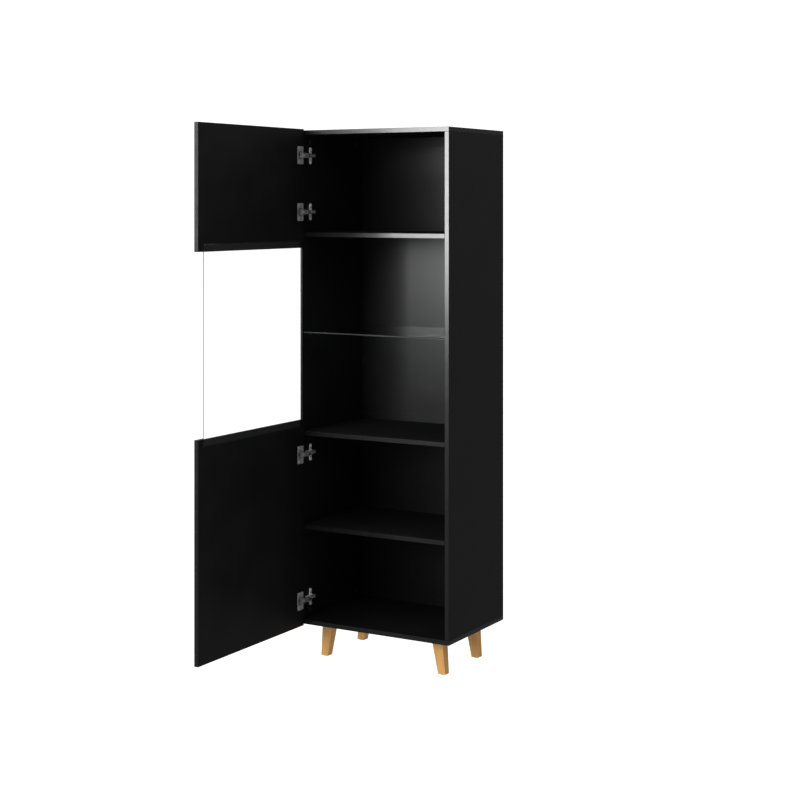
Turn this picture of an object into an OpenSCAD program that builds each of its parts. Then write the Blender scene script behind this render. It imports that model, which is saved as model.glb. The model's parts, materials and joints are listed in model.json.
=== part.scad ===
// Tall single-door china cabinet on splayed wooden legs.
// The door is drawn open at a right angle; every size is in millimetres.
// X runs to the right, Y to the back and Z up from the floor.

/* [Carcass] */
// Width across the two side panels
carcass_w = 600; // [500:10:900]
// Depth from the front edges to the back of the rear panel
carcass_d = 407; // [380:1:550]
// Height of the box without its legs
carcass_h = 1728; // [1720:1:1760]
// Thickness of the boards
board_t = 16; // [16:1:19]
// Thickness of the rear panel
back_t = 3; // [2.5:0.5:5]
// Chamfer on every board edge
edge_chamfer = 0.7; // [0.3:0.1:1]

/* [Shelves] */
// Top face of the loose lower shelf, above the underside of the box
lower_shelf_z = 348; // [200:1:500]
// Top face of the fixed middle shelf
middle_shelf_z = 676; // [670:1:685]
// Underside of the glass shelf
glass_shelf_z = 1018; // [800:1:1200]
// Top face of the fixed upper shelf
upper_shelf_z = 1371; // [1365:1:1400]
// Thickness of the glass shelf
glass_shelf_t = 5; // [4:1:8]
// Distance that the glass shelf stays behind the front edges
glass_shelf_setback = 6; // [4:1:30]

/* [Door] */
// Distance that the door stands past the box at each edge
door_lip = 4; // [2:0.5:4]
// Height of the solid upper panel
upper_panel_h = 415; // [400:1:420]
// Height of the solid lower panel
lower_panel_h = 722; // [700:1:725]
// Thickness of the glass pane
pane_t = 4; // [3:0.5:5]
// Overlap of the pane on each panel
pane_overlap = 25; // [15:1:25]
// Distance of the pane from the hinge edge of the door
pane_hinge_inset = 28; // [26:1:60]
// Distance of the pane from the free edge of the door
pane_free_inset = 24; // [24:1:60]

/* [Hinges] */
// Height of the lowest hinge above the underside of the box
hinge_1_z = 85; // [60:1:150]
// Height of the second hinge
hinge_2_z = 595; // [550:1:610]
// Height of the third hinge
hinge_3_z = 1442; // [1420:1:1500]
// Height of the top hinge
hinge_4_z = 1640; // [1600:1:1650]

/* [Legs] */
// Height of the legs with their glides
leg_h = 123; // [80:1:180]
// Width of a leg at its top
leg_top_w = 42; // [36:1:48]
// Depth of a leg at its top
leg_top_d = 37; // [32:1:44]
// Width and depth of a leg at its foot
leg_foot_w = 28; // [24:1:34]
// Distance from the box's middle to the outer face of a leg's top
leg_top_x = 240; // [200:1:240]
// Distance from the box's middle to the outer face of a leg's foot
leg_foot_x = 249; // [200:1:249]
// Distance between the centres of the front and the back feet
leg_pitch_y = 243; // [220:1:300]

/* [Hidden] */

$fn = 48;
eps = 0.1;
hole_play = 0.1;                        // radial play of a screw or dowel in its hole
pin_play = 0.05;                        // radial running play on a hinge pin
pin_fit = 0.01;                         // radial play of a pin in the part that holds it
layer_gap = 0.3;                        // side gap between neighbouring hinge plates

black = [0.05, 0.05, 0.055];
oak = [0.72, 0.52, 0.3];
steel = [0.62, 0.62, 0.62];
clear_glass = [0.75, 0.9, 0.86, 0.3];

// ---- box ----
nail_head_h = 0.6;                      // nail heads stand this far behind the rear panel
half_w = carcass_w / 2;
inner_x = half_w - board_t;             // inner face of a side
board_d = carcass_d - back_t;
box_z = leg_h;                          // underside of the box
top_z = box_z + carcass_h;

// ---- door and its place when open at a right angle ----
door_t = board_t;
door_w = carcass_w + 2 * door_lip;
door_h = carcass_h + 2 * door_lip;
closed_gap = 3;                         // door to box when the door is shut
open_gap = 4;                           // hinge edge to front plane when the door is open
open_inset = 9.4;                       // open door's inner face inside the side's inner face
door_x = -inner_x + open_inset;         // inner face of the open door
footprint_d = open_gap + door_w + carcass_d + nail_head_h;
front_y = footprint_d / 2 - carcass_d - nail_head_h;    // centres the footprint on the origin
door_y = front_y - open_gap;            // hinge edge of the open door
door_z = box_z - door_lip;
pane_z = door_z + lower_panel_h - pane_overlap;
pane_h = door_h - lower_panel_h - upper_panel_h + 2 * pane_overlap;
pane_w = door_w - pane_hinge_inset - pane_free_inset;
tape_t = 0.5;

// ---- concealed hinge: [across, along] positions ----
// On the side panel: height above its inner face, distance behind the front plane.
// In the door: depth below its inner face, distance from its hinge edge.
hinge_z = [hinge_1_z, hinge_2_z, hinge_3_z, hinge_4_z];
cup_r = 17.4;
cup_depth = 11.5;
cup_wall = 1;
cup_edge = 22.5;                        // cup centre to the door's hinge edge
flange_t = 1;
flange_half_s = 18;                      // across the door
flange_half_z = 31;
flange_corner_r = 4;
flange_screw_s = 28.5;                  // screw line to the door's hinge edge
flange_screw_z = 24;
pin_r = 1.2;
eye_r = 2.4;
band_t = 2.2;                           // thickness of a link's curved strip
outer_cup_pin = [3, 15];                // outer link's pivot in the cup
inner_cup_pin = [2, 16];                // inner link's pivot in the cup
inner_arm_pin = [21, 3];                // inner link's pivot in the arm
bisector_reach = 18;                    // outer link's arm pivot, from the middle of its two cup places
outer_bulge = 8;
inner_bulge = 4;
inner_eye_play = 0.8;                   // the inner link floats on its cup pin by this much
inner_eye_r = 3;
inner_link_len = 26.5;
inner_link_angle = -120.6;

// Half widths of the hinge's layers along its pins
inner_half = 5;
arm_half_in = inner_half + layer_gap;
arm_half_out = arm_half_in + 1.5;
link_half_in = arm_half_out + layer_gap;
link_half_out = link_half_in + 1.6;
lug_half_in = link_half_out + layer_gap;
lug_half_out = lug_half_in + 1.6;

// The outer link's arm pivot is as far from its cup pivot with the door shut as with it open
cup_pin_shut = [outer_cup_pin.y - board_t - door_lip, -closed_gap - outer_cup_pin.x];
cup_pin_open = [open_inset - outer_cup_pin.x, -open_gap - outer_cup_pin.y];
pin_step = cup_pin_open - cup_pin_shut;
outer_arm_pin = (cup_pin_open + cup_pin_shut) / 2
    + bisector_reach * [-pin_step.y, pin_step.x] / norm(pin_step);
outer_link_run = cup_pin_open - outer_arm_pin;
outer_link_len = norm(outer_link_run);
outer_link_angle = atan2(outer_link_run.y, outer_link_run.x);

// Side view of the arm: height above the side panel, distance behind the front plane
arm_rail_h = 8;                         // top of the mounting plate's rail
arm_end_y = 66;
arm_top_h = 23.6;
arm_flat_h = 13;                        // flat top of the arm's rear half
arm_outline = [
    [11.8, -0.9], [14.4, -3.1], [21.6, 0.5], [arm_top_h, 3.4], [arm_top_h, 9], [15, 30],
    [arm_flat_h, 36], [arm_flat_h, arm_end_y], [arm_rail_h, arm_end_y], [arm_rail_h, 15], [11.8, 5]
];
arm_wall = 1.3;
arm_hollow = [
    [-1, -6], [30, -6], [30, 5.6], [arm_top_h - arm_wall, 5.6], [arm_top_h - arm_wall, 8.7],
    [15 - arm_wall, 29.6], [arm_flat_h - arm_wall, 35.7],
    [arm_flat_h - arm_wall, arm_end_y - arm_wall], [-1, arm_end_y - arm_wall]
];
arm_screw_y = [43, 57];                 // side adjuster and clamping screw
arm_screw_len = 8;
arm_screw_r = 2;

// Mounting plate
plate_y = 50;                           // screw line behind the front plane
plate_t = 2;
plate_wing_w = 14;
plate_wing_z = 29.5;
plate_screw_z = 16;
rail_y = [17, 62];
rail_half = 6.8;

// Screws and pegs
wood_screw_r = 1.7;
wood_screw_len = 12;
screw_head_r = 3.6;
screw_head_h = 1.8;
peg_r = 2.5;
peg_depth = 9;
peg_head_r = 3.5;
peg_head_len = 8;
peg_inset = 45;                         // pegs behind the front and before the back edge
pad_t = 0.8;

// Cam joints
cam_r = 7.5;
cam_depth = 12.5;
cam_reach = 24;                         // cam centre to the joint
cam_bolt_r = 3.5;
bolt_anchor = 10;                       // bolt's length in the other board
cam_inset = 50;
cap_r = 9;
cap_t = 0.6;
dowel_r = 4;
dowel_long = 20;
dowel_short = 9;

// Nails
nail_r = 0.9;
nail_len = 14;
nail_head_r = 2.2;

// Legs
leg_y = leg_pitch_y / 2;                // foot centre in front of and behind the middle
glide_h = 2;
glide_r = 10;
hanger_r = 4;
hanger_down = 36;
hanger_up = 12;
insert_r = 6;
insert_len = 13;
index_r = 2.5;
index_down = 10;
index_up = 8;
index_offset = 11;
box_mid_y = front_y + carcass_d / 2;

// ================= shared shapes =================

// Rectangle from the origin with small cut corners
module chamfered(size) {
    c = edge_chamfer;
    polygon([
        [c, 0], [size.x - c, 0], [size.x, c], [size.x, size.y - c],
        [size.x - c, size.y], [c, size.y], [0, size.y - c], [0, c]
    ]);
}

// Board from the origin with all its edges eased
module board(size) {
    intersection() {
        linear_extrude(size.z) chamfered([size.x, size.y]);
        translate([0, size.y, 0])
            rotate([90, 0, 0]) linear_extrude(size.y) chamfered([size.x, size.z]);
        rotate([90, 0, 90]) linear_extrude(size.x) chamfered([size.y, size.z]);
    }
}

// Cylinder centred on its middle along X
module bar_x(r, len) rotate([0, 90, 0]) cylinder(r = r, h = len, center = true);

// Places children on the left side's inner face, at a height above the box's underside
module on_side(z) translate([-inner_x, front_y, box_z + z]) children();

// Places children in the door: x goes into the door, y along it from the hinge edge
module on_door(z) translate([door_x, door_y, box_z + z]) rotate(180) children();

// Extrudes children between two distances from a hinge's middle, on both sides
module mirrored_layer(from, to) {
    for (z0 = [from, -to]) translate([0, 0, z0]) linear_extrude(to - from) children();
}

// ================= fasteners that cut holes =================

// Cam joints between the sides and the two caps: bolt axis is vertical
module cap_joints() {
    for (side = [-1, 1], y = [cam_inset, board_d - cam_inset])
        translate([side * inner_x, front_y + y, 0]) {
            translate([0, 0, box_z + board_t]) mirror([side < 0 ? 1 : 0, 0, 0]) children();
            translate([0, 0, top_z - board_t])
                mirror([side < 0 ? 1 : 0, 0, 0]) mirror([0, 0, 1]) children();
        }
}

// Cam joints between the sides and the two fixed shelves: bolt axis is level
module shelf_joints() {
    for (side = [-1, 1], y = [cam_inset, board_d - cam_inset], z = [middle_shelf_z, upper_shelf_z])
        translate([side * inner_x, front_y + y, box_z + z - board_t])
            mirror([side > 0 ? 1 : 0, 0, 0]) children();
}

// Cam, standing in a side's inner face above a cap joint
module cap_cam(r, depth) translate([0, 0, cam_reach]) rotate([0, 90, 0]) cylinder(r = r, h = depth);

// Bolt of a cap joint, from the cap up into the cam
module cap_bolt(r, up, down)
    translate([board_t / 2, 0, -down]) cylinder(r = r, h = up + down);

// Cam, standing in a shelf's underside
module shelf_cam(r, depth) translate([cam_reach, 0, 0]) cylinder(r = r, h = depth);

// Bolt of a shelf joint, from the side into the cam
module shelf_bolt(r, reach, back)
    translate([-back, 0, board_t / 2]) rotate([0, 90, 0]) cylinder(r = r, h = reach + back);

// Places a dowel at the middle of each cap joint
module cap_dowels(r, play) {
    for (side = [-1, 1], end = [0, 1])
        translate([side * (inner_x + board_t / 2), front_y + board_d / 2,
                   end == 0 ? box_z + board_t : top_z - board_t])
            mirror([0, 0, end]) translate([0, 0, -dowel_short - play])
                cylinder(r = r, h = dowel_short + dowel_long + 2 * play);
}

// Places a dowel at the middle of each fixed shelf joint
module shelf_dowels(r, play) {
    for (side = [-1, 1], z = [middle_shelf_z, upper_shelf_z])
        translate([side * inner_x, front_y + board_d / 2, box_z + z - board_t / 2])
            mirror([side > 0 ? 1 : 0, 0, 0]) translate([-dowel_short - play, 0, 0])
                rotate([0, 90, 0]) cylinder(r = r, h = dowel_short + dowel_long + 2 * play);
}

// All holes that the cam joints need
module joint_holes() {
    cap_joints() translate([-eps, 0, 0]) cap_cam(cam_r + hole_play, cam_depth + eps);
    cap_joints() cap_bolt(cam_bolt_r + hole_play, cam_reach, bolt_anchor + hole_play);
    shelf_joints() translate([0, 0, -eps]) shelf_cam(cam_r + hole_play, cam_depth + eps);
    shelf_joints() shelf_bolt(cam_bolt_r + hole_play, cam_reach, bolt_anchor + hole_play);
    cap_dowels(dowel_r + hole_play, 0.5);
    shelf_dowels(dowel_r + hole_play, 0.5);
}

// Places children at each nail of the rear panel
module nail_places() {
    rows = 11;
    for (side = [-1, 1], i = [0:rows])
        translate([side * (inner_x + board_t / 2), front_y + board_d,
                   box_z + 40 + i * (carcass_h - 80) / rows])
            children();
    for (z = [board_t / 2, middle_shelf_z - board_t / 2, upper_shelf_z - board_t / 2,
              carcass_h - board_t / 2], x = [-0.5, 0, 0.5])
        translate([x * inner_x, front_y + board_d, box_z + z]) children();
}

// Nail shank, into the boards and through the rear panel
module nail_shank(r)
    translate([0, -nail_len, 0]) rotate([-90, 0, 0]) cylinder(r = r, h = nail_len + back_t, $fn = 24);

// Places children at the four pegs of a loose shelf, x pointing into the box
module peg_places(z) {
    for (side = [-1, 1], y = [peg_inset, board_d - peg_inset])
        translate([side * inner_x, front_y + y, box_z + z])
            mirror([side > 0 ? 1 : 0, 0, 0]) children();
}

module peg_stub(r, depth) translate([-depth, 0, 0]) rotate([0, 90, 0]) cylinder(r = r, h = depth);

module peg() {
    peg_stub(peg_r, peg_depth);
    rotate([0, 90, 0]) cylinder(r = peg_head_r, h = peg_head_len);
}

lower_peg_z = lower_shelf_z - board_t - peg_head_r - pin_play;
glass_peg_z = glass_shelf_z - pad_t - peg_head_r - pin_play;

module peg_holes() {
    for (z = [lower_peg_z, glass_peg_z])
        peg_places(z) translate([eps, 0, 0]) peg_stub(peg_r + pin_play, peg_depth + eps + hole_play);
}

// Places children at the two wood screws of each mounting plate, x pointing out of the side
module plate_screw_places() {
    for (z = hinge_z, side = [-1, 1])
        on_side(z) translate([0, plate_y, side * plate_screw_z]) children();
}

// Places children at the two wood screws of each cup, x pointing into the door
module cup_screw_places() {
    for (z = hinge_z, side = [-1, 1])
        on_door(z) translate([0, flange_screw_s, side * flange_screw_z]) children();
}

module screw_hole(len) rotate([0, 90, 0]) cylinder(r = wood_screw_r + hole_play, h = len, $fn = 24);

// ================= box =================

module cap_board(z) {
    difference() {
        translate([-half_w, front_y, z]) board([carcass_w, board_d, board_t]);
        joint_holes();
        nail_places() nail_shank(nail_r + pin_play);
    }
}

module bottom_panel() {
    color(black) difference() {
        cap_board(box_z);
        leg_places() leg_holes();
    }
}

module top_panel() color(black) cap_board(top_z - board_t);

module side_board(side) {
    difference() {
        translate([side < 0 ? -half_w : inner_x, front_y, box_z + board_t])
            board([board_t, board_d, carcass_h - 2 * board_t]);
        joint_holes();
        nail_places() nail_shank(nail_r + pin_play);
        peg_holes();
        plate_screw_places()
            translate([-wood_screw_len - hole_play, 0, 0]) screw_hole(wood_screw_len + 1);
    }
}

module left_side() color(black) side_board(-1);
module right_side() color(black) side_board(1);

module back_panel() {
    inset = 2;
    color(black) difference() {
        translate([-half_w + inset, front_y + board_d, box_z + inset])
            cube([carcass_w - 2 * inset, back_t, carcass_h - 2 * inset]);
        nail_places() nail_shank(nail_r + pin_play);
    }
}

module fixed_shelf(z) {
    difference() {
        translate([-inner_x, front_y, box_z + z - board_t])
            board([2 * inner_x, board_d, board_t]);
        joint_holes();
        nail_places() nail_shank(nail_r + pin_play);
    }
}

module upper_shelf() color(black) fixed_shelf(upper_shelf_z);
module middle_shelf() color(black) fixed_shelf(middle_shelf_z);

module lower_shelf() {
    play = 0.7;
    color(black) translate([-inner_x + play, front_y, box_z + lower_shelf_z - board_t])
        board([2 * (inner_x - play), board_d - play, board_t]);
}

module glass_shelf() {
    play = 1.5;
    color(clear_glass)
        translate([-inner_x + play, front_y + glass_shelf_setback, box_z + glass_shelf_z])
            board([2 * (inner_x - play), board_d - glass_shelf_setback - play, glass_shelf_t]);
}

module glass_shelf_pegs() color(black) peg_places(glass_peg_z) peg();
module lower_shelf_pegs() color(black) peg_places(lower_peg_z) peg();

// Soft pads between the pegs and the glass shelf
module glass_shelf_pads() {
    color([0.2, 0.2, 0.2]) peg_places(glass_shelf_z - pad_t)
        translate([1.8, -2.5, 0]) cube([5.5, 5, pad_t]);
}

// ================= cam joints =================

module cam_locks() {
    color(steel) {
        difference() {
            cap_joints() cap_cam(cam_r, cam_depth - hole_play);
            cap_joints() cap_bolt(cam_bolt_r + hole_play, cam_reach + 2, bolt_anchor);
        }
        difference() {
            shelf_joints() shelf_cam(cam_r, cam_depth - hole_play);
            shelf_joints() shelf_bolt(cam_bolt_r + hole_play, cam_reach + 2, bolt_anchor);
        }
    }
}

module cam_bolts() {
    color(steel) {
        cap_joints() cap_bolt(cam_bolt_r, cam_reach - hole_play, bolt_anchor);
        shelf_joints() shelf_bolt(cam_bolt_r, cam_reach - hole_play, bolt_anchor);
    }
}

// Flat covers over the cams
module cam_caps() {
    color(black) {
        cap_joints() translate([-cap_t, 0, 0]) cap_cam(cap_r, cap_t);
        shelf_joints() translate([0, 0, -cap_t]) shelf_cam(cap_r, cap_t);
    }
}

module dowels() {
    color(oak) {
        cap_dowels(dowel_r, 0);
        shelf_dowels(dowel_r, 0);
    }
}

module back_panel_nails() {
    color(steel) nail_places() {
        nail_shank(nail_r);
        translate([0, back_t, 0]) rotate([-90, 0, 0]) cylinder(r = nail_head_r, h = nail_head_h, $fn = 24);
    }
}

// ================= legs =================

// Places children at each corner, x pointing outwards and y away from the middle
module leg_places() {
    for (sx = [-1, 1], sy = [-1, 1]) leg_place(sx, sy) children();
}

module leg_place(sx, sy) {
    translate([0, box_mid_y, 0])
        mirror([sx < 0 ? 1 : 0, 0, 0]) mirror([0, sy < 0 ? 1 : 0, 0]) children();
}

leg_mid_x = leg_top_x - leg_top_w / 2;

// Tapered leg with a splay to the side only
module leg_body() {
    top = box_z;
    intersection() {
        translate([0, leg_y + leg_top_d, 0]) rotate([90, 0, 0]) linear_extrude(2 * leg_top_d)
            polygon([
                [leg_foot_x - leg_foot_w, glide_h], [leg_foot_x, glide_h],
                [leg_top_x, top], [leg_top_x - leg_top_w, top]
            ]);
        translate([leg_top_x - 2 * leg_top_w, leg_y, 0]) rotate([90, 0, 90])
            linear_extrude(4 * leg_top_w)
                polygon([
                    [-leg_foot_w / 2, glide_h], [leg_foot_w / 2, glide_h],
                    [leg_top_d / 2, top], [-leg_top_d / 2, top]
                ]);
    }
}

module hanger_bolt(r, down, up)
    translate([leg_mid_x, leg_y, box_z - down]) cylinder(r = r, h = down + up);

module index_pin(r, down, up)
    translate([leg_mid_x, leg_y + index_offset, box_z - down]) cylinder(r = r, h = down + up);

// Holes for one leg's insert and pin
module leg_holes() {
    hanger_bolt(insert_r + hole_play, eps, insert_len + hole_play);
    index_pin(index_r + hole_play, eps, index_up + hole_play);
}

module leg(sx, sy) {
    color(oak) leg_place(sx, sy) difference() {
        leg_body();
        hanger_bolt(hanger_r + hole_play, hanger_down + hole_play, eps);
        index_pin(index_r + hole_play, index_down + hole_play, eps);
    }
}

module leg_front_left() leg(-1, -1);
module leg_front_right() leg(1, -1);
module leg_back_left() leg(-1, 1);
module leg_back_right() leg(1, 1);

module leg_hanger_bolts() color(steel) leg_places() hanger_bolt(hanger_r, hanger_down, hanger_up);
module leg_index_pins() color(oak) leg_places() index_pin(index_r, index_down, index_up);

// Threaded sleeves in the bottom panel
module leg_inserts() {
    color(steel) leg_places() difference() {
        hanger_bolt(insert_r, 0, insert_len);
        hanger_bolt(hanger_r + pin_play, eps, hanger_up + hole_play);
    }
}

module leg_glides() {
    color([0.15, 0.15, 0.15]) leg_places()
        translate([leg_foot_x - leg_foot_w / 2, leg_y, 0]) cylinder(r = glide_r, h = glide_h);
}

// ================= door =================

// Solid door panel with the cup bores and screw holes
module door_panel(z, height) {
    difference() {
        translate([door_x - door_t, door_y - door_w, z]) board([door_t, door_w, height]);
        for (h = hinge_z)
            on_door(h) translate([-eps, cup_edge, 0])
                rotate([0, 90, 0]) cylinder(r = cup_r + hole_play, h = cup_depth + hole_play + eps);
        cup_screw_places() translate([-eps, 0, 0]) screw_hole(wood_screw_len + hole_play + eps);
    }
}

module door_lower_panel() color(black) door_panel(door_z, lower_panel_h);
module door_upper_panel() color(black) door_panel(door_z + door_h - upper_panel_h, upper_panel_h);

module door_glass() {
    color(clear_glass)
        translate([door_x + tape_t, door_y - pane_hinge_inset - pane_w, pane_z])
            board([pane_t, pane_w, pane_h]);
}

// Bonding strip between the pane and a panel
module glass_tape(z) {
    edge = 1.5;
    color([0.1, 0.1, 0.1])
        translate([door_x, door_y - pane_hinge_inset - pane_w + edge, z + edge])
            cube([tape_t, pane_w - 2 * edge, pane_overlap - 2 * edge]);
}

module glass_tape_lower() glass_tape(pane_z);
module glass_tape_upper() glass_tape(pane_z + pane_h - pane_overlap);

// ================= concealed hinges =================

// Lug that rises from the cup's floor to a pin: x is depth in the door, y distance along it
module lug_profile(pin, bore_r) {
    half = 2.4;
    difference() {
        union() {
            translate(pin) circle(r = half);
            translate([pin.x, pin.y - half]) square([cup_depth - cup_wall / 2 - pin.x, 2 * half]);
        }
        translate(pin) circle(r = bore_r);
    }
}

// Flange outline seen from inside the box, across the door and up
module flange_outline() {
    difference() {
        union() {
            square([2 * flange_half_z, 2 * (flange_half_s - flange_corner_r)], center = true);
            square([2 * (flange_half_z - flange_corner_r), 2 * flange_half_s], center = true);
            for (u = [-1, 1], v = [-1, 1])
                translate([u * (flange_half_z - flange_corner_r), v * (flange_half_s - flange_corner_r)])
                    circle(r = flange_corner_r);
        }
        circle(r = cup_r - cup_wall);
        for (side = [-1, 1])
            translate([side * flange_screw_z, flange_screw_s - cup_edge])
                circle(r = wood_screw_r + hole_play);
    }
}

module hinge_cup(i) {
    color(steel) on_door(hinge_z[i]) {
        translate([0, cup_edge, 0]) rotate([0, 90, 0]) difference() {
            cylinder(r = cup_r, h = cup_depth);
            translate([0, 0, -eps]) cylinder(r = cup_r - cup_wall, h = cup_depth - cup_wall + eps);
        }
        translate([-flange_t, cup_edge, 0]) rotate([0, 90, 0]) linear_extrude(flange_t) flange_outline();
        mirrored_layer(lug_half_in, lug_half_out) lug_profile(outer_cup_pin, pin_r + pin_fit);
        mirrored_layer(arm_half_in, arm_half_out) lug_profile(inner_cup_pin, pin_r + pin_fit);
    }
}

// Cup pins: short ones for the outer link, a long one for the inner link
module cup_pins() {
    color(steel) for (z = hinge_z) on_door(z) {
        mirrored_layer(link_half_in, lug_half_out) translate(outer_cup_pin) circle(r = pin_r);
        translate(inner_cup_pin) cylinder(r = pin_r, h = 2 * arm_half_out, center = true);
    }
}

// Arm pins: short ones for the outer link, a long one for the inner link
module arm_pins() {
    color(steel) for (z = hinge_z) on_side(z) {
        mirrored_layer(arm_half_in, link_half_out) translate(outer_arm_pin) circle(r = pin_r);
        translate(inner_arm_pin) cylinder(r = pin_r, h = 2 * arm_half_out, center = true);
    }
}

// Curved strip from the origin to a point at len along x, bulging towards y
module bowed_strip(len, bulge) {
    r = (len * len / 4 + bulge * bulge) / (2 * bulge);
    intersection() {
        translate([len / 2, bulge - r]) difference() {
            circle(r = r + band_t / 2, $fn = 96);
            circle(r = r - band_t / 2, $fn = 96);
        }
        square([len, bulge + band_t]);
    }
}

// Two bowed cheeks, one each side of the arm
module outer_link(i) {
    color(steel) on_side(hinge_z[i]) translate(outer_arm_pin) rotate(outer_link_angle)
        mirrored_layer(link_half_in, link_half_out) difference() {
            union() {
                bowed_strip(outer_link_len, outer_bulge);
                circle(r = eye_r);
                translate([outer_link_len, 0]) circle(r = eye_r);
            }
            circle(r = pin_r + pin_play);
            translate([outer_link_len, 0]) circle(r = pin_r + pin_play);
        }
}

module inner_link(i) {
    color(steel) on_side(hinge_z[i]) translate(inner_arm_pin) rotate(inner_link_angle)
        translate([0, 0, -inner_half]) linear_extrude(2 * inner_half) difference() {
            union() {
                bowed_strip(inner_link_len, inner_bulge);
                circle(r = eye_r);
                translate([inner_link_len, 0]) circle(r = inner_eye_r);
            }
            circle(r = pin_r + pin_play);
            translate([inner_link_len, 0]) circle(r = pin_r + inner_eye_play);
        }
}

module hinge_arm(i) {
    color(steel) on_side(hinge_z[i]) difference() {
        translate([0, 0, -arm_half_out]) linear_extrude(2 * arm_half_out) polygon(arm_outline);
        translate([0, 0, -arm_half_in]) linear_extrude(2 * arm_half_in) polygon(arm_hollow);
        for (pin = [outer_arm_pin, inner_arm_pin])
            translate(pin) cylinder(r = pin_r + pin_fit, h = 2 * arm_half_out + 1, center = true);
        for (y = arm_screw_y) translate([arm_flat_h, y, 0]) bar_x(arm_screw_r + hole_play, 12);
    }
}

// Cross-shaped mounting plate with the rail that carries the arm
module hinge_plate(i) {
    color(steel) on_side(hinge_z[i]) difference() {
        union() {
            translate([0, plate_y - plate_wing_w / 2, -plate_wing_z + plate_wing_w / 2])
                cube([plate_t, plate_wing_w, 2 * plate_wing_z - plate_wing_w]);
            for (side = [-1, 1])
                translate([0, plate_y, side * (plate_wing_z - plate_wing_w / 2)])
                    rotate([0, 90, 0]) cylinder(r = plate_wing_w / 2, h = plate_t);
            translate([0, rail_y[0], -rail_half])
                cube([arm_rail_h, rail_y[1] - rail_y[0], 2 * rail_half]);
        }
        for (side = [-1, 1])
            translate([-eps, plate_y, side * plate_screw_z])
                rotate([0, 90, 0]) cylinder(r = wood_screw_r + hole_play, h = 2 * plate_t, $fn = 24);
        for (y = arm_screw_y) translate([arm_rail_h, y, 0]) bar_x(arm_screw_r + hole_play, 12);
    }
}

// Pan-head wood screw, head towards negative x
module wood_screw() {
    translate([-screw_head_h, 0, 0]) rotate([0, 90, 0]) difference() {
        cylinder(r = screw_head_r, h = screw_head_h);
        for (a = [0, 90])
            rotate(a) translate([-2.2, -0.5, -eps]) cube([4.4, 1, 1.1]);
    }
    rotate([0, 90, 0]) cylinder(r = wood_screw_r, h = wood_screw_len, $fn = 24);
}

module cup_screws() color(steel) cup_screw_places() translate([-flange_t, 0, 0]) wood_screw();

module plate_screws() {
    color(steel) plate_screw_places() translate([plate_t, 0, 0]) rotate(180) wood_screw();
}

// Side adjuster and clamping screw on each arm
module arm_screws() {
    head_r = 3.8;
    head_h = 2;
    color(steel) for (z = hinge_z, y = arm_screw_y)
        on_side(z) translate([arm_flat_h, y, 0]) rotate([0, 90, 0]) difference() {
            union() {
                cylinder(r = head_r, h = head_h);
                translate([0, 0, -arm_screw_len]) cylinder(r = arm_screw_r, h = arm_screw_len + eps);
            }
            for (a = [0, 90])
                rotate(a) translate([-2.4, -0.55, head_h - 1.1]) cube([4.8, 1.1, 1.2]);
        }
}

// ================= assembly =================

bottom_panel();
top_panel();
left_side();
right_side();
back_panel();
upper_shelf();
middle_shelf();
lower_shelf();
glass_shelf();
glass_shelf_pegs();
glass_shelf_pads();
lower_shelf_pegs();
cam_locks();
cam_bolts();
cam_caps();
dowels();
back_panel_nails();
leg_front_left();
leg_front_right();
leg_back_left();
leg_back_right();
leg_hanger_bolts();
leg_inserts();
leg_index_pins();
leg_glides();
door_upper_panel();
door_lower_panel();
door_glass();
glass_tape_upper();
glass_tape_lower();
arm_pins();
cup_pins();
cup_screws();
plate_screws();
arm_screws();
for (i = [0:3]) {
    hinge_cup(i);
    hinge_arm(i);
    hinge_plate(i);
    outer_link(i);
    inner_link(i);
}
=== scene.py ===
"""Looks of a tall display cabinet over its CAD frame: laminate, glass, oak and nickel, in a plain studio."""

import json
import math

import bmesh
import bpy
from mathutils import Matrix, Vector


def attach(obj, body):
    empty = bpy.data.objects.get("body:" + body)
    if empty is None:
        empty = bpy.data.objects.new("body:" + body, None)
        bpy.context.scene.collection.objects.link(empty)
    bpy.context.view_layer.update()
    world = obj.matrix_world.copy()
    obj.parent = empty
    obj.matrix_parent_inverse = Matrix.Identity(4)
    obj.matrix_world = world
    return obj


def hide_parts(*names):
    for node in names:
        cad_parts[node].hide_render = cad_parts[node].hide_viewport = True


MM = 0.001

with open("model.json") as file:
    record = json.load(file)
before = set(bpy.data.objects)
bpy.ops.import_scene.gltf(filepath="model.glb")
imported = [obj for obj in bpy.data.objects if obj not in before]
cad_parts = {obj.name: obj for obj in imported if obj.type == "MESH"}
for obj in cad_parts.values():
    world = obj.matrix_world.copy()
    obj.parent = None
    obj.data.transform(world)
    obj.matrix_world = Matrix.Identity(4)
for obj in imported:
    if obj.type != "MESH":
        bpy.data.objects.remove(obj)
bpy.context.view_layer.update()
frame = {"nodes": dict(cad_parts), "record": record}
nodes = frame["nodes"]
node_body = {n: b for b, members in frame["record"]["behaviour"]["bodies"].items() for n in members}
node_slot = {s["node"]: s["material_slot"] for s in frame["record"]["subparts"]}


# ---------------------------------------------------------------- node trees

class Nodes:
    """The node tree of a material or a world, with short calls for sums and ranges."""

    def __init__(self, owner):
        owner.use_nodes = True
        self.nodes = owner.node_tree.nodes
        self.links = owner.node_tree.links

    def put(self, socket, value):
        """Links value to socket if it is another node's output, or else sets it."""
        if isinstance(value, bpy.types.NodeSocket):
            self.links.new(value, socket)
        else:
            socket.default_value = value

    def math(self, operation, a, b=0.0):
        node = self.nodes.new("ShaderNodeMath")
        node.operation = operation
        self.put(node.inputs[0], a)
        self.put(node.inputs[1], b)
        return node.outputs[0]

    def remap(self, value, low, high, to_low, to_high):
        node = self.nodes.new("ShaderNodeMapRange")
        names = ("Value", "From Min", "From Max", "To Min", "To Max")
        for name, x in zip(names, (value, low, high, to_low, to_high)):
            self.put(node.inputs[name], x)
        return node.outputs["Result"]


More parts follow.
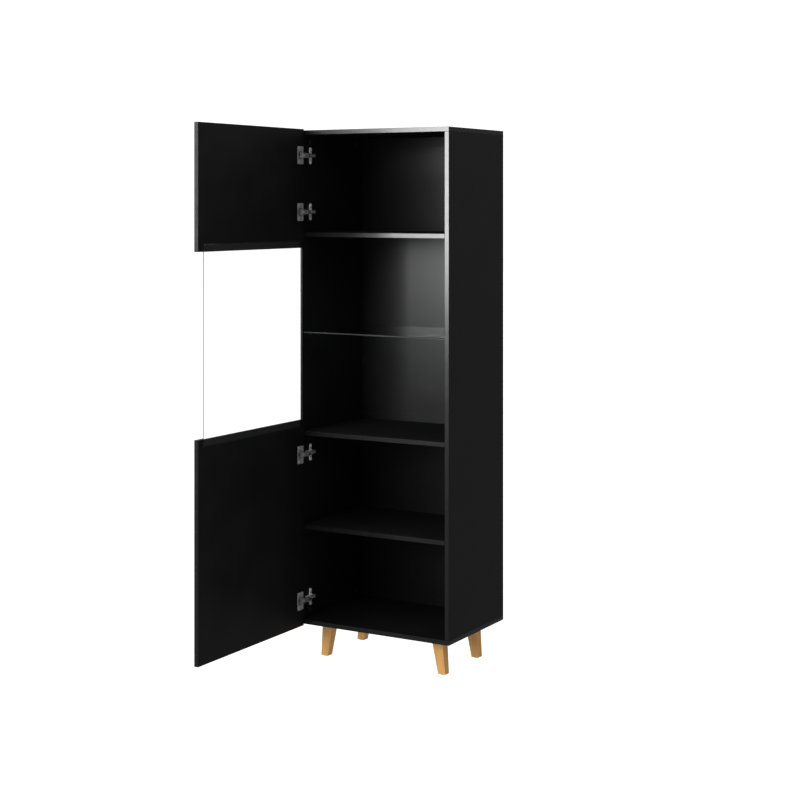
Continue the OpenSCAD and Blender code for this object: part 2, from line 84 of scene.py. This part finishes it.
class Tree(Nodes):
    """A new material, with short calls for the few texture nodes that the finishes here are made of."""

    def __init__(self, name):
        self.material = bpy.data.materials.new(name)
        super().__init__(self.material)
        self.shader = self.nodes["Principled BSDF"]
        self.coordinates = self.nodes.new("ShaderNodeTexCoord")

    def principled(self, **values):
        for name, value in values.items():
            self.put(self.shader.inputs[name.replace("_", " ")], value)

    def place(self, scale=(1, 1, 1)):
        """The piece's own coordinates in metres, stretched by scale."""
        mapping = self.nodes.new("ShaderNodeMapping")
        mapping.inputs["Scale"].default_value = scale
        self.links.new(self.coordinates.outputs["Object"], mapping.inputs["Vector"])
        return mapping.outputs["Vector"]

    def noise(self, vector, scale, detail=2.0, roughness=0.5, distortion=0.0):
        node = self.nodes.new("ShaderNodeTexNoise")
        self.links.new(vector, node.inputs["Vector"])
        node.inputs["Scale"].default_value = scale
        node.inputs["Detail"].default_value = detail
        node.inputs["Roughness"].default_value = roughness
        node.inputs["Distortion"].default_value = distortion
        return node.outputs["Fac"]

    def ramp(self, value, *stops):
        """A colour ramp through (position, (r, g, b)) stops."""
        node = self.nodes.new("ShaderNodeValToRGB")
        self.links.new(value, node.inputs["Fac"])
        elements = node.color_ramp.elements
        while len(elements) < len(stops):
            elements.new(0.5)
        for element, (position, colour) in zip(elements, stops):
            element.position = position
            element.color = (*colour, 1)
        return node.outputs["Color"]

    def blend(self, factor, a, b):
        node = self.nodes.new("ShaderNodeMix")
        node.data_type = "RGBA"
        self.put(node.inputs["Factor"], factor)
        self.put(node.inputs["A"], a if isinstance(a, bpy.types.NodeSocket) else (*a, 1))
        self.put(node.inputs["B"], b if isinstance(b, bpy.types.NodeSocket) else (*b, 1))
        return node.outputs["Result"]

    def bump(self, height, distance, strength):
        node = self.nodes.new("ShaderNodeBump")
        node.inputs["Strength"].default_value = strength
        node.inputs["Distance"].default_value = distance
        self.links.new(height, node.inputs["Height"])
        self.links.new(node.outputs["Normal"], self.shader.inputs["Normal"])

    def edge_mask(self, axis):
        """1 on a board's edges and 0 on its two faces, for a board whose thickness runs along axis."""
        split = self.nodes.new("ShaderNodeSeparateXYZ")
        self.links.new(self.coordinates.outputs["Normal"], split.inputs["Vector"])
        return self.remap(self.math("ABSOLUTE", split.outputs[axis]), 0.25, 0.45, 1.0, 0.0)


# ---------------------------------------------------------------- finishes

def laminate(name, axis, matt, face_ior):
    """Satin black melamine with a fine pearl texture and smoother edges. matt is its faces' roughness."""
    t = Tree(name)
    here = t.place()
    cloud = t.noise(here, 7, 3)
    pearl = t.noise(here, 900, 2, 0.6)
    edge = t.edge_mask(axis)
    face_rough = t.remap(cloud, 0.3, 0.7, matt - 0.04, matt + 0.04)
    edge_rough = t.remap(t.noise(here, 40, 2), 0.3, 0.7, 0.205, 0.235)
    rough = t.math("ADD", t.math("MULTIPLY", edge, edge_rough),
                   t.math("MULTIPLY", t.math("SUBTRACT", 1.0, edge), face_rough))
    face = t.ramp(cloud, (0.25, (0.0024, 0.0024, 0.0026)), (0.75, (0.0038, 0.0038, 0.0041)))
    speck = t.blend(t.remap(pearl, 0.62, 0.75, 0.0, 0.5), face, (0.008, 0.008, 0.0085))
    t.principled(Base_Color=t.blend(edge, speck, (0.0040, 0.0040, 0.0044)), Roughness=rough,
                 IOR=t.remap(edge, 0, 1, face_ior, 1.5))
    grain = t.math("MULTIPLY", pearl, t.remap(edge, 0, 1, 1.0, 0.25))
    t.bump(grain, 0.05 * MM, 0.35)
    return t.material


def fibreboard(name):
    """Matt black lacquered hardboard with a faint fibre."""
    t = Tree(name)
    here = t.place()
    fibre = t.noise(t.place((1, 1, 0.45)), 260, 4, 0.65)
    cloud = t.noise(here, 5, 3)
    t.principled(Base_Color=t.ramp(fibre, (0.3, (0.0028, 0.0028, 0.0030)), (0.7, (0.0045, 0.0045, 0.0048))),
                 Roughness=t.remap(cloud, 0.3, 0.7, 0.245, 0.265), IOR=1.38)
    t.bump(fibre, 0.02 * MM, 0.15)
    return t.material


def oak(name, stretch=0.05, light=(0.440, 0.232, 0.062), dark=(0.300, 0.142, 0.032)):
    """Lacquered oak: growth lines and pores that run up the piece."""
    t = Tree(name)
    along = t.place((1, 1, stretch))
    warp = t.noise(along, 14, 2)
    lines = t.noise(along, 165, 5, 0.62, 1.1)
    pores = t.noise(t.place((1, 1, 0.03)), 1500, 2, 0.6)
    base = t.ramp(lines, (0.30, dark), (0.50, tuple((a + b) / 2 for a, b in zip(dark, light))), (0.68, light))
    toned = t.blend(t.remap(warp, 0.35, 0.65, 0.0, 0.35), base, light)
    pored = t.blend(t.remap(pores, 0.60, 0.72, 0.0, 0.45), toned, tuple(c * 0.62 for c in dark))
    t.principled(Base_Color=pored, Roughness=t.remap(lines, 0.3, 0.7, 0.46, 0.36), IOR=1.48)
    t.shader.inputs["Coat Weight"].default_value = 0.12
    t.shader.inputs["Coat Roughness"].default_value = 0.25
    t.bump(t.math("SUBTRACT", lines, t.math("MULTIPLY", pores, 0.8)), 0.08 * MM, 0.5)
    return t.material


def metal(name, colour, rough, brushed=(1, 1, 1), metallic=1.0):
    """Plated steel: cloudy roughness, fine rolling marks and a little tarnish."""
    t = Tree(name)
    cloud = t.noise(t.place(), 90, 3)
    marks = t.noise(t.place(brushed), 2600, 2, 0.6)
    tint = tuple(c * 0.78 for c in colour)
    t.principled(Base_Color=t.blend(t.remap(cloud, 0.35, 0.7, 0.0, 1.0), colour, tint),
                 Roughness=t.remap(cloud, 0.3, 0.7, rough - 0.05, rough + 0.08), Metallic=metallic)
    t.bump(marks, 0.02 * MM, 0.3)
    return t.material


def moulded(name, colour, rough, grain=1400, height=0.04):
    """Moulded plastic or rubber with a fine spark texture."""
    t = Tree(name)
    spark = t.noise(t.place(), grain, 3, 0.6)
    cloud = t.noise(t.place(), 120, 2)
    paler = tuple(c * 1.35 for c in colour)
    t.principled(Base_Color=t.blend(t.remap(cloud, 0.3, 0.7, 0.0, 1.0), colour, paler),
                 Roughness=t.remap(cloud, 0.3, 0.7, rough - 0.04, rough + 0.05), IOR=1.46)
    t.bump(spark, height * MM, 0.5)
    return t.material


def felt(name):
    """Dark grey wool felt."""
    t = Tree(name)
    fibre = t.noise(t.place((1, 1, 3)), 1800, 5, 0.7)
    wool = t.ramp(fibre, (0.3, (0.020, 0.020, 0.020)), (0.75, (0.075, 0.073, 0.070)))
    t.principled(Base_Color=wool, Roughness=0.95)
    t.shader.inputs["Sheen Weight"].default_value = 0.4
    t.bump(fibre, 0.3 * MM, 0.8)
    return t.material


GLASS_IOR = 1.5


def glass(name, axis, tint, edge_tint, edge_ior=GLASS_IOR):
    """Clear float glass with darker ground edges, for a pane whose thickness runs along axis.

    Shadow rays, and the rays that other pieces mirror, pass straight through it.
    A lower edge_ior dulls the edges.
    """
    t = Tree(name)
    film = t.noise(t.place(), 3, 3)
    edge = t.edge_mask(axis)
    ior = GLASS_IOR if edge_ior == GLASS_IOR else t.remap(edge, 0, 1, GLASS_IOR, edge_ior)
    face = t.ramp(film, (0.2, tint), (0.8, tuple(min(1.0, c * 1.01) for c in tint)))
    t.principled(Base_Color=t.blend(edge, face, edge_tint), Roughness=t.remap(edge, 0, 1, 0.0, 0.35),
                 IOR=ior, Transmission_Weight=t.math("SUBTRACT", 1.0, edge))
    path = t.nodes.new("ShaderNodeLightPath")
    clear = t.nodes.new("ShaderNodeBsdfTransparent")
    clear.inputs["Color"].default_value = (*tint, 1)
    mix = t.nodes.new("ShaderNodeMixShader")
    t.put(mix.inputs["Fac"], t.math("MAXIMUM", path.outputs["Is Shadow Ray"], path.outputs["Is Glossy Ray"]))
    t.links.new(t.shader.outputs["BSDF"], mix.inputs[1])
    t.links.new(clear.outputs["BSDF"], mix.inputs[2])
    t.links.new(mix.outputs["Shader"], t.nodes["Material Output"].inputs["Surface"])
    return t.material


LENGTHWISE = (1, 1, 0.1)
FLAT_BOARDS = ("bottom_panel", "top_panel", "upper_shelf", "middle_shelf", "lower_shelf")
finish_of_slot = {
    "back_board": fibreboard("black_fibreboard"),
    "shelf_glass": glass("shelf_glass", "Z", (0.95, 0.98, 0.97), (0.012, 0.015, 0.014), edge_ior=1.2),
    "door_glass": glass("door_glass", "X", (0.985, 0.992, 0.990), (0.004, 0.005, 0.005)),
    "leg_wood": oak("leg_oak"),
    "dowel_wood": oak("beech", 0.2, (0.72, 0.52, 0.33), (0.60, 0.41, 0.24)),
    "black_plastic": moulded("black_plastic", (0.010, 0.010, 0.0105), 0.42),
    "pad_rubber": moulded("pad_rubber", (0.02, 0.02, 0.02), 0.7, 800, 0.08),
    "bond_tape": moulded("bond_tape", (0.012, 0.012, 0.012), 0.5, 600, 0.05),
    "glide_felt": felt("glide_felt"),
    "cam_zinc": metal("die_cast_zinc", (0.55, 0.55, 0.56), 0.42),
    "hinge_steel": metal("nickel_plate", (0.30, 0.30, 0.30), 0.34, LENGTHWISE, metallic=0.9),
    "screw_steel": metal("screw_plate", (0.60, 0.59, 0.57), 0.28, metallic=0.85),
    "plain_steel": metal("zinc_plate", (0.52, 0.53, 0.55), 0.36),
}
# Hinge cups and plates: the arms' steel, a bit rougher; their paler, less metallic colour is painted light.
cup_nickel_painted_lighter = metal("cup_nickel_painted_lighter", (0.38, 0.375, 0.37), 0.38, LENGTHWISE, metallic=0.6)
plate_nickel_painted_lighter = metal("plate_nickel_painted_lighter", (0.88, 0.87, 0.85), 0.42, LENGTHWISE, metallic=0.45)
upright_laminate = laminate("laminate_upright", "X", matt=0.48, face_ior=1.27)
level_laminate = laminate("laminate_level", "Z", matt=0.8, face_ior=1.14)


def finish(node):
    """The material of a CAD node."""
    slot = node_slot[node]
    if slot in ("black_board", "door_board"):
        return level_laminate if node in FLAT_BOARDS else upright_laminate
    if node.startswith("hinge_cup"):
        return cup_nickel_painted_lighter
    if node.startswith("hinge_plate"):
        return plate_nickel_painted_lighter
    return finish_of_slot[slot]


for name, node in nodes.items():
    for material_slot in node.material_slots:
        material_slot.material = finish(name)


# The black boards don't mirror the glass shelf. The shelf mirrors them all the same.
nodes["glass_shelf"].visible_glossy = False


# Pressed steel has slightly rounded edges.
for name, node in nodes.items():
    if name.startswith(("hinge_cup", "hinge_plate", "hinge_arm")):
        rounding = node.modifiers.new("pressed_edges", "BEVEL")
        rounding.width = 0.25 * MM
        rounding.segments = 2
        rounding.limit_method = "ANGLE"
        rounding.angle_limit = math.radians(40)
        rounding.harden_normals = True


# ---------------------------------------------------------------- pieces with eased edges

LEG_EDGE = 2.2 * MM


def eased(node, radius, segments):
    """A copy of a CAD node with its sharp edges rounded inwards, which stands for the node."""
    name = node + "_eased"
    sharp_angle = math.radians(35)
    mesh = nodes[node].data.copy()
    mesh.name = name
    b = bmesh.new()
    b.from_mesh(mesh)
    bmesh.ops.remove_doubles(b, verts=b.verts, dist=1e-6)
    bmesh.ops.dissolve_limit(b, angle_limit=math.radians(0.5), verts=b.verts, edges=b.edges)
    sharp = [e for e in b.edges if len(e.link_faces) == 2 and e.calc_face_angle(0) > sharp_angle]
    bmesh.ops.bevel(b, geom=sharp, offset=radius, segments=segments, profile=0.5,
                    affect="EDGES", clamp_overlap=True)
    bmesh.ops.recalc_face_normals(b, faces=b.faces)
    b.to_mesh(mesh)
    b.free()
    if mesh.has_custom_normals:
        mesh.attributes.remove(mesh.attributes["custom_normal"])
    piece = bpy.data.objects.new(name, mesh)
    bpy.context.scene.collection.objects.link(piece)
    mesh.shade_smooth()
    modifier = piece.modifiers.new("even_normals", "WEIGHTED_NORMAL")
    modifier.keep_sharp = True
    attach(piece, node_body[node])
    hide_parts(node)


for node in sorted(nodes):
    if node_slot[node] == "leg_wood":
        eased(node, LEG_EDGE, segments=4)


# ---------------------------------------------------------------- studio

scene = bpy.context.scene
scene.view_settings.view_transform = "Standard"

BACKDROP = 1.15
FLOOR_HALF = 30.0
floor_mesh = bpy.data.meshes.new("floor")
floor_mesh.from_pydata([(-FLOOR_HALF, -FLOOR_HALF, 0), (FLOOR_HALF, -FLOOR_HALF, 0),
                        (FLOOR_HALF, FLOOR_HALF, 0), (-FLOOR_HALF, FLOOR_HALF, 0)], [], [(0, 1, 2, 3)])
floor = bpy.data.objects.new("floor", floor_mesh)
scene.collection.objects.link(floor)
floor.visible_glossy = False

# The floor is as bright as the backdrop by its own light, so that no shadow shows on it.
paint = Tree("floor_paint")
mottle = paint.noise(paint.place(), 2, 2)
grey = paint.ramp(mottle, (0.3, (0.040, 0.040, 0.040)), (0.7, (0.044, 0.044, 0.044)))
paint.principled(Base_Color=grey, Roughness=0.9)
paint.shader.inputs["Emission Color"].default_value = (1, 1, 1, 1)
paint.shader.inputs["Emission Strength"].default_value = BACKDROP
floor_mesh.materials.append(paint.material)

HORIZON_LIGHT = 0.17
ZENITH_LIGHT = 1.2
world = bpy.data.worlds.new("studio")
scene.world = world
sky = Nodes(world)
background = sky.nodes["Background"]
background.inputs["Color"].default_value = (1, 1, 1, 1)

# The dome is brighter overhead than at the horizon. What the camera sees of it, straight or through glass,
# is even.
toward = sky.nodes.new("ShaderNodeTexCoord")
rise = sky.nodes.new("ShaderNodeSeparateXYZ")
sky.put(rise.inputs["Vector"], toward.outputs["Generated"])
dome = sky.remap(rise.outputs["Z"], 0.12, 0.7, HORIZON_LIGHT, ZENITH_LIGHT)
path = sky.nodes.new("ShaderNodeLightPath")
seen = sky.math("MAXIMUM", path.outputs["Is Camera Ray"], path.outputs["Is Transmission Ray"])
sky.put(background.inputs["Strength"], sky.remap(seen, 0, 1, dome, BACKDROP))


def softbox(name, place, target, width, height, radiance):
    """A rectangular lamp of even radiance that faces target."""
    lamp = bpy.data.lights.new(name, "AREA")
    lamp.shape = "RECTANGLE"
    lamp.size, lamp.size_y = width, height
    lamp.energy = radiance * math.pi * width * height
    o = bpy.data.objects.new(name, lamp)
    scene.collection.objects.link(o)
    o.location = place
    o.rotation_euler = (Vector(target) - Vector(place)).to_track_quat("-Z", "Y").to_euler()
    return o


key = softbox("front_left_key", place=(-1.36, -4.45, 2.05), target=(0.07, 0.1, 2.05),
              width=2.2, height=2.0, radiance=22)
softbox("front_overhead", place=(0.8, -3.5, 3.6), target=(0, 0.1, 0.5), width=3.0, height=2.0, radiance=3.0)

# The shut door's pane would mirror the key as a hard white patch, so the key doesn't light it.
passed_by = bpy.data.collections.new("passed_by_key")
passed_by.objects.link(nodes["door_glass"])
passed_by.collection_objects[0].light_linking.link_state = "EXCLUDE"
key.light_linking.receiver_collection = passed_by

# ---------------------------------------------------------------- camera

EYE = (2.914, -4.712, 1.593)
VIEW_AZIMUTH = math.radians(30.2)
LENS = 74.1
RISE_SHIFT = -0.245
camera_data = bpy.data.cameras.new("camera")
camera_data.sensor_width = 36
camera_data.lens = LENS
camera_data.shift_y = RISE_SHIFT
camera = bpy.data.objects.new("camera", camera_data)
camera.location = EYE
camera.rotation_euler = (math.pi / 2, 0, VIEW_AZIMUTH)
scene.collection.objects.link(camera)
scene.camera = camera
